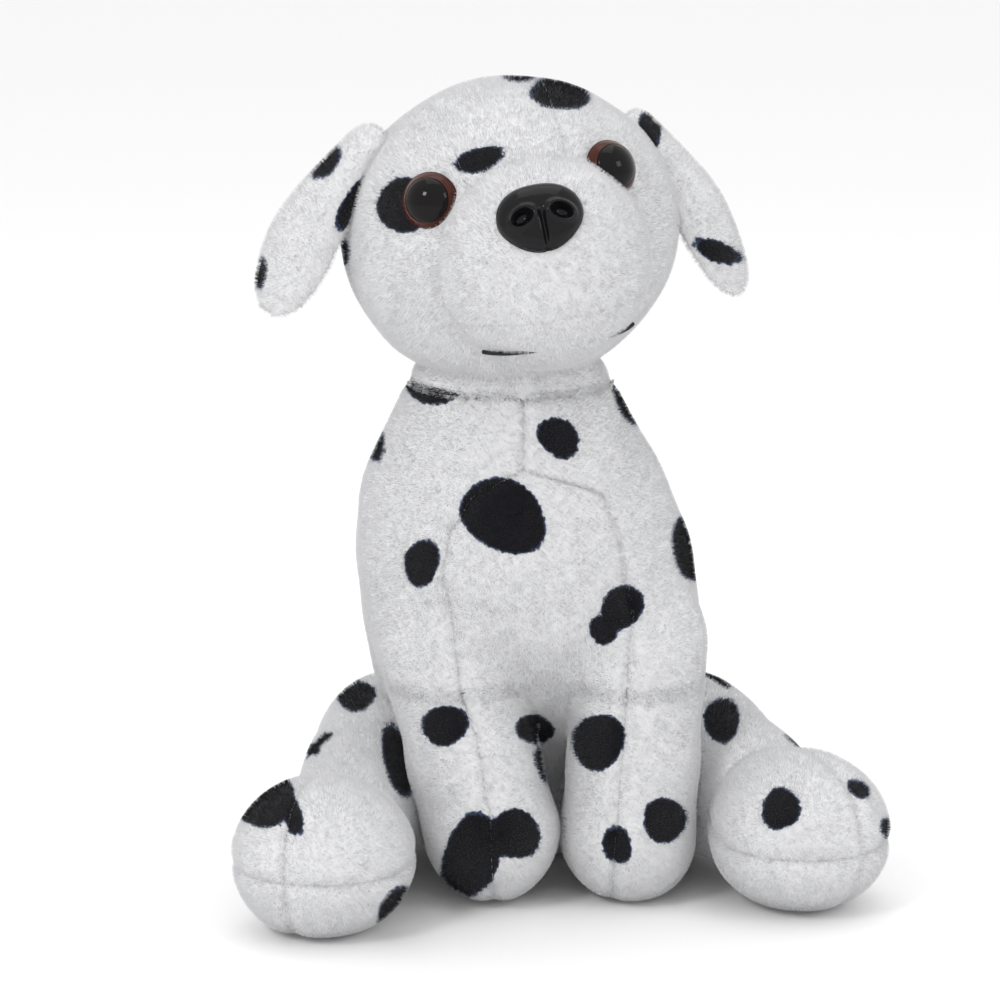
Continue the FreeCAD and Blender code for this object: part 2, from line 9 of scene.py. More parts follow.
import bpy
import numpy as np
import openvdb
from mathutils import Matrix, Vector

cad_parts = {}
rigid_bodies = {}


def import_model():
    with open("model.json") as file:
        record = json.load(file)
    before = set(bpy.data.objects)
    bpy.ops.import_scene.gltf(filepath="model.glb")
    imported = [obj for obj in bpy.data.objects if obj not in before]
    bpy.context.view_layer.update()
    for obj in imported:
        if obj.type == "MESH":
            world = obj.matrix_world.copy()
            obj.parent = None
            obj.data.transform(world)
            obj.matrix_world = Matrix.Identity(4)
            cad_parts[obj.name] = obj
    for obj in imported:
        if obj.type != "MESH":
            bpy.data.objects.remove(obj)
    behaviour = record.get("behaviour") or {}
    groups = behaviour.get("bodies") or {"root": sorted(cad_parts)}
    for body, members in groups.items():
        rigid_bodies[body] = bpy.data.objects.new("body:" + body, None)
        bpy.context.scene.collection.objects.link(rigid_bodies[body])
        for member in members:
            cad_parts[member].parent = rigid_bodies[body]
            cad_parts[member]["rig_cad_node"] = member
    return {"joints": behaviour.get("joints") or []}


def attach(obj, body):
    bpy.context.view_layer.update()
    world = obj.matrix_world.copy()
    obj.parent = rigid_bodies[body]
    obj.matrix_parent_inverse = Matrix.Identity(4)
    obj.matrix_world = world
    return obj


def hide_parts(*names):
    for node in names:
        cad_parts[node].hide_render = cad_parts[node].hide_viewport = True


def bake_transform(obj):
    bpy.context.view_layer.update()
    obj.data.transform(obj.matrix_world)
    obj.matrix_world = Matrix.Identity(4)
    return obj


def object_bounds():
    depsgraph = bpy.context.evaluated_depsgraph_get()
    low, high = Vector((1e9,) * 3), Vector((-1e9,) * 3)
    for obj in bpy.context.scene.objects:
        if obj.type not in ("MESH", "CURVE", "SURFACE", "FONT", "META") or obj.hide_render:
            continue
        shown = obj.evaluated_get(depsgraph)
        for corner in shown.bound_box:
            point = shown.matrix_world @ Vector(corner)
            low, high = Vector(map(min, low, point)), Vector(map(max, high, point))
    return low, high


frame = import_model()
CAD_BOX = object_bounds()

MM = 0.001
JOINTS = {joint["name"]: joint for joint in frame["joints"]}
SIDES = ("left", "right")
SIGN = {"left": 1, "right": -1}

# ---- shared sizes, in toy millimetres ----
NECK = np.array((-10.0, -12.0, 112.0))
HEAD_TURN, HEAD_TILT = 9.5, -9.0
HEAD_AT = np.array((4.0, -5.8, 34.5))
HEAD_R = np.array((35.5, 34.0, 32.0))
MUZZLE_AT = np.array((2.0, -26.5, -3.0))
MUZZLE_R = 22.0
EYE_AT = np.array((19.1, -25.2, 13.2))
EYE_TURN, EYE_RAISE = 24.0, 14.0
TORSO = np.array((
    (-6.0, -4.5, 19.0, 14.0, 10.0),
    (0.0, -4.5, 19.0, 20.0, 15.0),
    (10.0, -4.5, 18.5, 30.0, 22.5),
    (27.0, -4.5, 16.0, 34.5, 27.0),
    (43.0, -4.5, 8.0, 36.0, 30.0),
    (58.0, -5.6, -1.5, 37.0, 33.0),
    (75.0, -7.6, -7.5, 36.5, 31.0),
    (92.0, -9.8, -10.5, 32.5, 27.0),
    (107.0, -10.0, -12.0, 24.5, 22.0),
    (118.0, -10.5, -13.0, 20.0, 19.0),
    (126.0, -10.5, -13.5, 12.0, 12.0),
))
FRONT = {"left": ((18.0, -21.0, 50.0), 4.0, 8.0), "right": ((-23.5, -21.0, 50.0), 15.0, 13.0)}
HIND = {"left": ((29.5, 12.0, 21.5), 29.0, 48.5), "right": ((-35.5, 12.0, 21.5), 14.0, 61.5)}
FOOT_R = np.array((19.2, 19.0, 17.0))
TAIL_ROOT, TAIL_LEN, TAIL_RAISE = np.array((-4.5, 45.0, 27.0)), 44.0, 38.0
CLOTH = 1.0
VOXEL = 1.3

PIVOT = Vector(JOINTS["head_turn"]["pos_m"])


def place(points):
    """Toy millimetres to the frame's metres."""
    return (np.asarray(points, float) - NECK) * MM + np.array(PIVOT)


def spin(axis, degrees):
    return np.array(Matrix.Rotation(math.radians(degrees), 3, axis))


HEAD_SPIN = spin("Z", HEAD_TURN) @ spin("Y", HEAD_TILT)
HEAD_CENTRE = NECK + HEAD_SPIN @ HEAD_AT


def head_local(points):
    return (points - HEAD_CENTRE) @ HEAD_SPIN


def head_point(local):
    return HEAD_CENTRE + HEAD_SPIN @ np.asarray(local, float)


# ---- camera ----
LENS = 130.0
LOOK_DOWN = 12.0
SPAN = 210.0
AIM_DEPTH = -45.0
AIM = np.array((-12.6, AIM_DEPTH, 93.5))


def camera_basis():
    down = math.radians(LOOK_DOWN)
    forward = np.array((0.0, math.cos(down), -math.sin(down)))
    up = np.array((0.0, math.sin(down), math.cos(down)))
    distance = SPAN / 2 / (18.0 / LENS)
    return AIM - forward * distance, forward, up, distance


def seen(points):
    """Where points appear from the front: millimetres across and up at the face's depth."""
    eye, forward, up, distance = camera_basis()
    ray = points - eye
    depth = ray @ forward
    across = ray[:, 0] / depth * distance + AIM[0]
    high = ray @ up / depth * distance + SEEN_MIDDLE
    return across, high


SEEN_MIDDLE = 91.8


def make_camera():
    eye, forward, up, distance = camera_basis()
    data = bpy.data.cameras.new("camera")
    data.lens = LENS
    data.sensor_width = 36.0
    data.clip_start = 0.01
    camera = bpy.data.objects.new("camera", data)
    bpy.context.scene.collection.objects.link(camera)
    camera.location = place(eye)
    camera.rotation_mode = "QUATERNION"
    camera.rotation_quaternion = Vector(forward).to_track_quat("-Z", "Y")
    bpy.context.scene.camera = camera


# ---- distance fields ----

def ellipsoid(points, centre, radii, turn=None):
    q = points - centre
    if turn is not None:
        q = q @ turn
    near = np.linalg.norm(q / radii, axis=1)
    slope = np.linalg.norm(q / (radii * radii), axis=1)
    return near * (near - 1) / np.maximum(slope, 1e-6)


def capsule(points, start, end, start_r, end_r):
    along = end - start
    share = np.clip((points - start) @ along / (along @ along), 0, 1)
    gap = np.linalg.norm(points - start - share[:, None] * along, axis=1)
    return gap - (start_r + (end_r - start_r) * share)


def smooth_min(a, b, soft):
    share = np.clip(0.5 + 0.5 * (b - a) / soft, 0, 1)
    return b + (a - b) * share - soft * share * (1 - share)


def smooth_max(a, b, soft):
    return -smooth_min(-a, -b, soft)


def smooth_row(heights, knots, values):
    """Values along the torso's height, with the corners of straight interpolation rounded off."""
    reach = 5.0
    total = 0
    for shift in np.linspace(-reach, reach, 7):
        total = total + np.interp(heights + shift, knots, values)
    return total / 7


def torso_field(points):
    z = points[:, 2]
    mid_x, mid_y, half_w, half_d = (smooth_row(z, TORSO[:, 0], TORSO[:, i]) for i in range(1, 5))
    ring = np.hypot((points[:, 0] - mid_x) / half_w, (points[:, 1] - mid_y) / half_d)
    side = (ring - 1) * np.minimum(half_w, half_d)
    top = z - 122.0
    return smooth_max(side, top, 6.0)


def limb_axis(side):
    pivot, lean, forward = FRONT[side]
    down = np.array((-SIGN[side] * math.tan(math.radians(lean)),
                     -math.tan(math.radians(forward)), -1.0))
    return np.array(pivot), down / np.linalg.norm(down)


def front_leg_field(points, side):
    pivot, down = limb_axis(side)
    top = pivot - down * 6
    wrist = pivot + down * 20
    paw = pivot + down * 36.0
    upper = capsule(points, top, wrist, 14.0, 13.4)
    lower = capsule(points, wrist, paw, 13.4, 14.4)
    return smooth_min(upper, lower, 3.0)


def head_field(points):
    local = head_local(points)
    skull = ellipsoid(local, np.zeros(3), HEAD_R)
    muzzle = ellipsoid(local, MUZZLE_AT, np.array((MUZZLE_R, MUZZLE_R, MUZZLE_R)))
    return smooth_min(skull, muzzle, 2.2)


def body_field(points):
    """The torso, front legs and head: one sewn surface."""
    torso = torso_field(points)
    legs = np.minimum(front_leg_field(points, "left"), front_leg_field(points, "right"))
    whole = smooth_min(torso, legs, 7.0)
    whole = smooth_min(whole, head_field(points), 3.0)
    return smooth_max(whole, 0.3 - points[:, 2], 3.0)


def hind_axis(side):
    pivot, splay, reach = HIND[side]
    splay = math.radians(splay)
    along = np.array((SIGN[side] * math.sin(splay), -math.cos(splay), -5.1 / reach))
    pivot = np.array(pivot)
    return pivot, pivot + along * reach, along / np.linalg.norm(along)


def hind_field(points, side):
    hip, foot, along = hind_axis(side)
    turn = spin("Z", SIGN[side] * HIND[side][1])
    thigh = capsule(points, hip, hip + along * 42, 19.0, 13.5)
    ball = ellipsoid(points, foot, FOOT_R, turn)
    return smooth_max(smooth_min(thigh, ball, 4.0), 0.3 - points[:, 2], 3.0)


def gradient(field, points):
    step = 0.2
    slope = np.empty_like(points)
    for axis in range(3):
        shift = np.zeros(3)
        shift[axis] = step
        slope[:, axis] = (field(points + shift) - field(points - shift)) / (2 * step)
    return slope


def surface(field, low, high, voxel=VOXEL):
    """Points and triangles of the field's zero surface, moved exactly onto it."""
    axes = [np.arange(a, b + voxel, voxel) for a, b in zip(low, high)]
    grid = np.stack(np.meshgrid(*axes, indexing="ij"), axis=-1).reshape(-1, 3)
    values = np.concatenate([field(block) for block in np.array_split(grid, 12)])
    volume = openvdb.FloatGrid(1e3)
    volume.copyFromArray(values.reshape([len(axis) for axis in axes]).astype(np.float32))
    points, triangles, quads = volume.convertToPolygons(isovalue=0.0, adaptivity=0.0)
    points = points.astype(float) * voxel + np.array(low)
    faces = np.concatenate([quads[:, (0, 1, 2)], quads[:, (0, 2, 3)]])
    if len(triangles):
        faces = np.concatenate([faces, triangles])
    for _ in range(2):
        slope = gradient(field, points)
        length = np.maximum(np.linalg.norm(slope, axis=1), 0.2)
        move = field(points) / (length * length)
        points = points - np.clip(move, -1, 1)[:, None] * slope
    slope = gradient(field, points)
    normals = slope / np.linalg.norm(slope, axis=1)[:, None]
    flat = np.cross(points[faces[:, 1]] - points[faces[:, 0]], points[faces[:, 2]] - points[faces[:, 0]])
    if (flat * normals[faces[:, 0]]).sum() < 0:
        faces = faces[:, ::-1]
    return points, faces.astype(int)


# ---- the sewn solids ----
NECK_SEAM_Z = 113.0
FILL_TOP_Z = 92.0
LEG_TOP_Z = 48.5
# WEB is how far the fillet at a leg reaches past it, LAP how far one skin runs on under the next.
WEB = 1.8
LAP = 2.5


def torso_solid(points):
    """The torso: it keeps its own front under each front leg, up to the top of the leg's skin."""
    whole = body_field(points)
    under = np.minimum(torso_field(points) - WEB, LEG_TOP_Z - LAP - points[:, 2])
    return np.maximum(np.maximum(whole, under), points[:, 2] - NECK_SEAM_Z - LAP / 2)


def leg_solid(side):
    other = "right" if side == "left" else "left"

    def field(points):
        mine = front_leg_field(points, side)
        apart = mine - front_leg_field(points, other) + 0.8
        whole = smooth_min(torso_field(points), mine, 7.0)
        whole = smooth_max(whole, 0.3 - points[:, 2], 3.0)
        parts = (whole, mine - WEB, apart, points[:, 2] - LEG_TOP_Z - LAP / 2)
        return np.maximum.reduce(parts)
    return field


def head_solid(points):
    return np.maximum(body_field(points), NECK_SEAM_Z - LAP / 2 - points[:, 2])


def hind_solid(side):
    return lambda points: hind_field(points, side)


def tail_solid(points):
    rise = math.radians(TAIL_RAISE)
    along = np.array((0.0, math.cos(rise), math.sin(rise)))
    return capsule(points, TAIL_ROOT - along * 6, TAIL_ROOT + along * (TAIL_LEN - 8), 6.6, 3.8)


EARS = {"left": ((31.5, 1.0, 16.0), 62.0), "right": ((-27.5, 1.0, 23.0), 44.0)}
EAR_LEN, EAR_HALF_W, EAR_HALF_T, EAR_TWIST = 41.0, 9.4, 2.7, 50.0


def ear_axes(side):
    root, droop = EARS[side]
    droop, twist = math.radians(droop), math.radians(EAR_TWIST)
    along = np.array((SIGN[side] * math.cos(droop), 0.0, -math.sin(droop)))
    across = np.array((SIGN[side] * math.sin(droop), 0.0, math.cos(droop)))
    back = np.array((0.0, 1.0, 0.0))
    wide = across * math.cos(twist) + back * math.sin(twist)
    out = np.cross(along, wide) * SIGN[side]
    turn = HEAD_SPIN @ np.stack((along, wide, out), axis=1)
    return head_point(root), turn


def ear_solid(side):
    root, turn = ear_axes(side)

    def field(points):
        a, b, c = ((points - root) @ turn).T
        share = a / EAR_LEN
        rise = np.clip(share / 0.6, 0, 1)
        half_w = EAR_HALF_W * (0.6 + 0.4 * rise * rise * (3 - 2 * rise))
        droop = -5.0 * share * share
        cup = 0.025 * (b - droop) ** 2
        sheet = c + cup - 2.4 * np.sin(np.clip(share, 0, 1) * math.pi)
        crease = 1.2 * np.exp(-((b - droop) / 1.6) ** 2) * np.clip((share - 0.2) * 4, 0, 1)
        half_t = EAR_HALF_T - crease * (sheet * -1 > 0) * 0.8
        ends = np.clip((share - 0.62) / 0.38, 0, 9) ** 2 + np.clip((0.02 - share) / 0.14, 0, 9) ** 2
        ring = np.sqrt(((b - droop) / half_w) ** 2 + (sheet / half_t) ** 2 + ends)
        return (ring - 1) * half_t
    return field


# ---- seams: signed values that are zero on a seam line ----
LEFT_SEAM = np.array(((-14.0, 10.0), (-14.9, 27.1), (-15.8, 31.3), (-17.4, 42.0), (-20.6, 50.4),
                      (-22.1, 61.1), (-23.1, 69.1), (-24.8, 77.1), (-23.2, 85.0), (-18.5, 92.5),
                      (-7.8, 98.1)))
RIGHT_SEAM = np.array(((10.9, 12.0), (12.0, 24.6), (13.0, 37.2), (13.9, 50.4), (14.1, 58.4),
                       (15.3, 66.6), (14.1, 73.7), (13.2, 79.8), (12.2, 85.3), (9.0, 93.2),
                       (-7.8, 98.1)))
GUSSET_APEX_V = 98.1
BACK_SEAM_X = -3.9


def seam_left(points):
    u, v = seen(points)
    return u - np.interp(v, LEFT_SEAM[:, 1], LEFT_SEAM[:, 0])


def seam_right(points):
    u, v = seen(points)
    return np.interp(v, RIGHT_SEAM[:, 1], RIGHT_SEAM[:, 0]) - u


def gusset_value(points):
    _, v = seen(points)
    inside = np.minimum(seam_left(points), seam_right(points))
    z = points[:, 2]
    middle = np.interp(z, TORSO[:, 0], TORSO[:, 2])
    ahead = middle + 26 * np.exp(-z / 6.0) - points[:, 1]
    return np.minimum(np.minimum(inside, ahead), (GUSSET_APEX_V - v) * 0.7)


def middle_value(points):
    """Which side of the chest's and back's middle seam: positive to the dog's left."""
    u, _ = seen(points)
    z = points[:, 2]
    middle = np.interp(z, TORSO[:, 0], TORSO[:, 2])
    front = np.clip((middle - points[:, 1]) / 10 + 0.5, 0, 1)
    value = (u + 7.7) * front + (points[:, 0] - BACK_SEAM_X) * (1 - front)
    return np.where(gusset_value(points) > 0.05, 9.0, value)


def head_gusset_value(points):
    """Positive on the strip from the brow over the crown to the nape."""
    local = head_local(points)
    half = 9.0 + 3.0 * np.clip(local[:, 2] / 32, -1, 1)
    return np.minimum(half - np.abs(local[:, 0] + 1.0), local[:, 2] + 8 + np.clip(local[:, 1], -20, 60))


def muzzle_value(points):
    local = head_local(points) - MUZZLE_AT
    return MUZZLE_R + 1.9 - np.linalg.norm(local, axis=1) - np.clip(local[:, 1] + 4, 0, 50) * 1.2


def chin_value(points):
    local = head_local(points) - MUZZLE_AT
    return -9.0 - local[:, 2]


def split(points, faces, values):
    """Cut every triangle that a seam crosses, exactly along the value's zero."""
    values = np.where(np.abs(values) < 0.06, 0.0, values)
    signs = np.sign(values[faces])
    mixed = (signs.max(1) > 0) & (signs.min(1) < 0)
    kept = faces[~mixed]
    cut, marks = faces[mixed], signs[mixed]
    if not len(cut):
        return points, faces
    zero = (marks == 0).any(1)
    alone = np.where(marks.sum(1) > 0, -1, 1)
    target = np.where(zero, 0, alone)
    first = (marks == target[:, None]).argmax(1)
    order = (first[:, None] + np.arange(3)) % 3
    cut = np.take_along_axis(cut, order, axis=1)
    a, b, c = cut.T
    one, two = cut[zero], cut[~zero]
    edges = np.concatenate([one[:, (1, 2)], two[:, (0, 1)], two[:, (0, 2)]])
    edges = np.sort(edges, axis=1)
    unique, where = np.unique(edges, axis=0, return_inverse=True)
    where = where.reshape(-1)
    low, high = values[unique[:, 0]], values[unique[:, 1]]
    share = (low / (low - high))[:, None]
    fresh = points[unique[:, 0]] * (1 - share) + points[unique[:, 1]] * share
    where = where + len(points)
    n1, n2 = len(one), len(two)
    m = where[:n1]
    ab, ac = where[n1:n1 + n2], where[n1 + n2:]
    made = [kept,
            np.stack((one[:, 0], one[:, 1], m), 1), np.stack((one[:, 0], m, one[:, 2]), 1),
            np.stack((two[:, 0], ab, ac), 1), np.stack((ab, two[:, 1], two[:, 2]), 1),
            np.stack((ab, two[:, 2], ac), 1)]
    return np.concatenate([points, fresh]), np.concatenate(made)


# ---- spots ----
# (across, up, half width, half height, tilt in degrees), as seen from the front.
HEAD_SPOTS = (
    (-8.0, 183.0, 6.0, 3.6, 0), (-0.2, 176.8, 6.0, 3.3, -10), (-40.3, 171.4, 2.6, 3.0, 35),
    (-17.0, 163.2, 5.4, 2.6, 20), (-33.0, 153.6, 5.6, 5.6, -20), (-46.2, 142.5, 2.2, 4.2, -10),
    (15.0, 173.6, 3.0, 1.8, -30),
)
BODY_SPOTS = (
    (-26.7, 117.0, 6.4, 5.2, -35), (14.3, 114.0, 3.2, 7.0, 20), (-38.6, 104.4, 2.0, 4.8, 0),
    (-0.4, 104.9, 3.9, 4.9, 35), (-11.8, 88.4, 9.9, 7.2, -25), (-29.0, 78.6, 3.8, 4.9, -10),
    (27.4, 82.0, 4.2, 6.9, 10), (13.0, 69.2, 5.0, 4.4, 40), (9.2, 64.6, 3.0, 3.4, 0),
    (-5.4, 43.8, 4.0, 3.2, 0), (-43.0, 50.5, 4.0, 3.4, 0),
)
LEG_SPOTS = {
    "right": ((-24.1, 44.5, 4.9, 4.3, -5), (-18.6, 17.2, 5.6, 9.6, -12), (-9.6, 21.6, 5.2, 5.6, 20),
              (-2.1, 34.6, 2.4, 6.0, 25), (-37.0, 37.0, 1.8, 7.0, 15)),
    "left": ((8.2, 41.0, 5.4, 6.0, 0), (21.9, 24.6, 4.4, 4.9, 25), (12.0, 19.4, 3.0, 4.2, 10)),
}
HIND_SPOTS = {
    "right": ((-42.6, 50.4, 4.0, 3.2, 0), (-34.0, 37.0, 3.0, 8.2, 15), (-51.7, 39.2, 1.6, 1.3, 0),
              (-62.0, 28.6, 6.4, 5.6, 35), (-56.0, 25.4, 2.0, 4.4, 10), (-35.2, 6.2, 2.7, 5.2, -30)),
    "left": ((34.0, 45.4, 3.8, 4.7, 15), (46.4, 26.9, 3.9, 4.7, 0), (62.6, 31.0, 2.6, 1.7, -35),
             (68.2, 23.0, 1.2, 2.0, 0)),
}
EAR_SPOTS = {
    "right": ((-42.2, 154.5, 3.0, 7.2, -35), (-48.8, 162.4, 1.8, 4.4, -40), (-63.0, 139.4, 1.5, 3.4, -10)),
    "left": ((33.0, 144.0, 5.4, 2.2, -25), (18.6, 169.2, 2.3, 4.2, 10), (41.6, 151.5, 1.2, 1.6, 0)),
}
# (x, y, z, radius): spots on the sides and back, which the front does not show.
BACK_SPOTS = (
    (-40.0, 2.0, 88.0, 7.0), (-26.0, 18.0, 100.0, 6.0), (8.0, 20.0, 92.0, 7.5), (-12.0, 30.0, 70.0, 7.0),
    (26.0, 24.0, 60.0, 7.5), (-32.0, 34.0, 42.0, 7.5), (14.0, 42.0, 34.0, 6.5), (-8.0, 48.0, 14.0, 6.5),
    (34.0, 12.0, 38.0, 6.0), (-42.0, 12.0, 62.0, 6.0), (28.0, 0.0, 96.0, 5.5), (10.0, -4.0, 174.0, 6.0),
    (-24.0, 6.0, 168.0, 6.5), (-8.0, 17.0, 152.0, 7.5), (22.0, 4.0, 142.0, 6.0), (-36.0, 2.0, 136.0, 6.0),
    (6.0, 12.0, 128.0, 5.5), (-4.5, 66.0, 40.0, 5.0), (-4.5, 78.0, 56.0, 4.6), (-50.0, -10.0, 28.0, 5.5),
    (50.0, -8.0, 26.0, 5.5), (-60.0, -28.0, 34.0, 4.0), (58.0, -20.0, 10.0, 5.5), (-22.0, -4.0, 14.0, 5.0),
)


# A spot's value is millimetres inside its edge, kept in a UV layer as SPOT_ZERO + value / SPOT_SPAN.
NO_SPOT, SPOT_ZERO, SPOT_SPAN = -9.0, 0.5, 20.0
FRONT_FACING, BACK_FACING = -0.05, 0.25


def spot_value(points, normals, spots):
    """How far inside a spot each point is, in millimetres."""
    u, v = seen(points)
    eye = camera_basis()[0]
    facing = ((eye - points) * normals).sum(1) / np.linalg.norm(eye - points, axis=1)
    value = np.full(len(points), NO_SPOT)
    for number, (cu, cv, half_u, half_v, tilt) in enumerate(spots):
        turn = math.radians(tilt)
        du, dv = u - cu, v - cv
        a = (du * math.cos(turn) + dv * math.sin(turn)) / half_u
        b = (dv * math.cos(turn) - du * math.sin(turn)) / half_v
        angle = np.arctan2(b, a)
        wobble = 0.05 * np.sin(2 * angle + number) + 0.04 * np.sin(3 * angle + 2.3 * number)
        inside = (1 + wobble - np.hypot(a, b)) * min(half_u, half_v)
        value = np.maximum(value, np.where(facing > FRONT_FACING, inside, NO_SPOT))
    for x, y, z, radius in BACK_SPOTS:
        inside = radius - np.linalg.norm(points - (x, y, z), axis=1)
        value = np.maximum(value, np.where(facing < BACK_FACING, inside, NO_SPOT))
    return value


# ---- making pieces ----
CAP_REACH = 0.45
NECK_GROOVE = 0.9
RANDOM = np.random.default_rng(7)
WAVES = RANDOM.normal(size=(24, 3))
WAVES *= (RANDOM.uniform(0.10, 0.45, 24) / np.linalg.norm(WAVES, axis=1))[:, None]
PHASES = RANDOM.uniform(0, 6.28, 24)


def unevenness(points):
    """Slow dents and swells of hand stuffed cloth, in millimetres."""
    return np.sin(points @ WAVES.T + PHASES).sum(1) * 0.055


def vertex_normals(points, faces):
    p = points[faces]
    flat = np.cross(p[:, 1] - p[:, 0], p[:, 2] - p[:, 0])
    total = np.zeros_like(points)
    for corner in range(3):
        np.add.at(total, faces[:, corner], flat)
    return total / np.maximum(np.linalg.norm(total, axis=1), 1e-12)[:, None]


def add_mesh(name, points, faces, materials):
    mesh = bpy.data.meshes.new(name)
    mesh.from_pydata(place(points).tolist(), [], faces.tolist())
    mesh.polygons.foreach_set("use_smooth", [True] * len(mesh.polygons))
    obj = bpy.data.objects.new(name, mesh)
    bpy.context.scene.collection.objects.link(obj)
    for material in materials:
        mesh.materials.append(material)
    return obj


def shell(name, points, faces, normals, spots, material):
    """A piece of cloth: an outer face, an inner face and a rim, closed."""
    used, faces = np.unique(faces, return_inverse=True)
    faces = faces.reshape(-1, 3)
    outer, normals, spots = points[used], normals[used], spots[used]
    count = len(outer)
    edges = np.concatenate([faces[:, (0, 1)], faces[:, (1, 2)], faces[:, (2, 0)]])
    keys = {tuple(edge) for edge in edges.tolist()}
    rim = sorted(edge for edge in keys if (edge[1], edge[0]) not in keys)
    a, b = np.array(rim).T
    all_faces = np.concatenate([faces, faces[:, ::-1] + count,
                                np.stack((b, a, a + count), 1), np.stack((b, a + count, b + count), 1)])
    all_points = np.concatenate([outer, outer - normals * CLOTH])
    obj = add_mesh(name, all_points, all_faces, [material])
    mesh = obj.data
    both = np.concatenate([normals, -normals])
    mesh.normals_split_custom_set_from_vertices(both.tolist())
    layer = mesh.uv_layers.new(name="Spots")
    corner = np.empty(len(mesh.loops), int)
    mesh.loops.foreach_get("vertex_index", corner)
    value = np.concatenate([spots, np.full(count, NO_SPOT)])[corner]
    value = np.clip(value, NO_SPOT, -NO_SPOT) / SPOT_SPAN + SPOT_ZERO
    pair = np.stack((value, np.full(len(corner), 0.5)), 1)
    layer.data.foreach_set("uv", pair.astype(np.float32).reshape(-1))
    group = obj.vertex_groups.new(name="pile")
    group.add(list(range(count)), 1.0, "REPLACE")
    p = outer[faces]
    area = np.linalg.norm(np.cross(p[:, 1] - p[:, 0], p[:, 2] - p[:, 0]), axis=1).sum() / 2
    grow_pile(obj, area)
    return obj


PILE_PER_MM2 = 12.0
PILE_LEN = 0.8
PILE_RADIUS = 0.07


def grow_pile(obj, area):
    """The short pile of the cloth."""
    obj.modifiers.new("pile", "PARTICLE_SYSTEM")
    system = obj.particle_systems[-1]
    system.seed = 3
    system.vertex_group_density = "pile"
    hair = system.settings
    hair.type = "HAIR"
    hair.count = int(area * PILE_PER_MM2 * (1.0))
    hair.hair_step = 2
    hair.render_step = 2
    hair.display_step = 2
    hair.emit_from = "FACE"
    hair.distribution = "RAND"
    hair.use_emit_random = True
    hair.hair_length = PILE_LEN * MM
    hair.root_radius = 1.0
    hair.tip_radius = 0.35
    hair.radius_scale = PILE_RADIUS * MM
    hair.use_close_tip = False
    hair.material = 1


def sewn(field, low, high, seams, name_of, spots, material, groove=0.8, blank=None, caps=()):
    """Mesh a stuffed solid, cut it on its seams, sink the seams, and make one shell per panel.

    Faces on the level caps, where one solid runs on inside the next, belong to no panel."""
    points, faces = surface(field, low, high, VOXEL * (1.0))
    middles = points[faces].mean(1)
    for level in caps:
        on_cap = (np.abs(middles[:, 2] - level) < CAP_REACH) & (body_field(middles) < -CAP_REACH)
        faces, middles = faces[~on_cap], middles[~on_cap]
    for seam in seams:
        points, faces = split(points, faces, seam(points))
    normals = vertex_normals(points, faces)
    depth = np.zeros(len(points))
    for seam in seams:
        depth = np.maximum(depth, np.exp(-(seam(points) / 1.5) ** 2))
    if blank is not None:
        depth *= blank(points)
    collar = NECK_GROOVE * np.exp(-((points[:, 2] - NECK_SEAM_Z) / 1.6) ** 2)
    shift = unevenness(points) - groove * depth - collar
    floor_share = np.clip(points[:, 2] / 3, 0, 1)
    points = points + normals * (shift * floor_share)[:, None]
    normals = vertex_normals(points, faces)
    inside = spot_value(points, normals, spots)
    middles = points[faces].mean(1)
    names = name_of(middles)
    made = {}
    for name in sorted(set(names)):
        made[name] = shell(name, points, faces[names == name], normals, inside, material)
    return made


FILL_INSET, FILL_VOXEL = 1.9, 2.4


def stuffing(name, field, low, high, material, node):
    """A stuffed filling, just inside its skin."""
    points, faces = surface(lambda points: field(points) + FILL_INSET, low, high, FILL_VOXEL)
    obj = add_mesh(name, points, faces, [material])
    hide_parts(node)
    return obj


# ---- materials ----

def new_material(name):
    material = bpy.data.materials.new(name)
    material.use_nodes = True
    nodes = material.node_tree.nodes
    nodes.clear()
    out = nodes.new("ShaderNodeOutputMaterial")
    surface_node = nodes.new("ShaderNodeBsdfPrincipled")
    material.node_tree.links.new(surface_node.outputs[0], out.inputs[0])
    return material, nodes, material.node_tree.links, surface_node


def plain(name, colour, roughness):
    material, _, _, surface_node = new_material(name)
    surface_node.inputs["Base Color"].default_value = (*colour, 1)
    surface_node.inputs["Roughness"].default_value = roughness
    return material


def noise(nodes, links, scale, detail=2.0):
    where = nodes.new("ShaderNodeTexCoord")
    node = nodes.new("ShaderNodeTexNoise")
    node.inputs["Scale"].default_value = scale
    node.inputs["Detail"].default_value = detail
    links.new(where.outputs["Object"], node.inputs["Vector"])
    return node.outputs["Fac"]


def math_node(nodes, links, operation, a, b):
    node = nodes.new("ShaderNodeMath")
    node.operation = operation
    for socket, value in zip(node.inputs, (a, b)):
        if isinstance(value, (int, float)):
            socket.default_value = value
        else:
            links.new(value, socket)
    return node.outputs[0]


WHITE_PILE = (0.74, 0.74, 0.75, 1)
BLACK_PILE = (0.006, 0.006, 0.009, 1)
SPOT_EDGE = (0.05, 0.07, 0.13, 1)


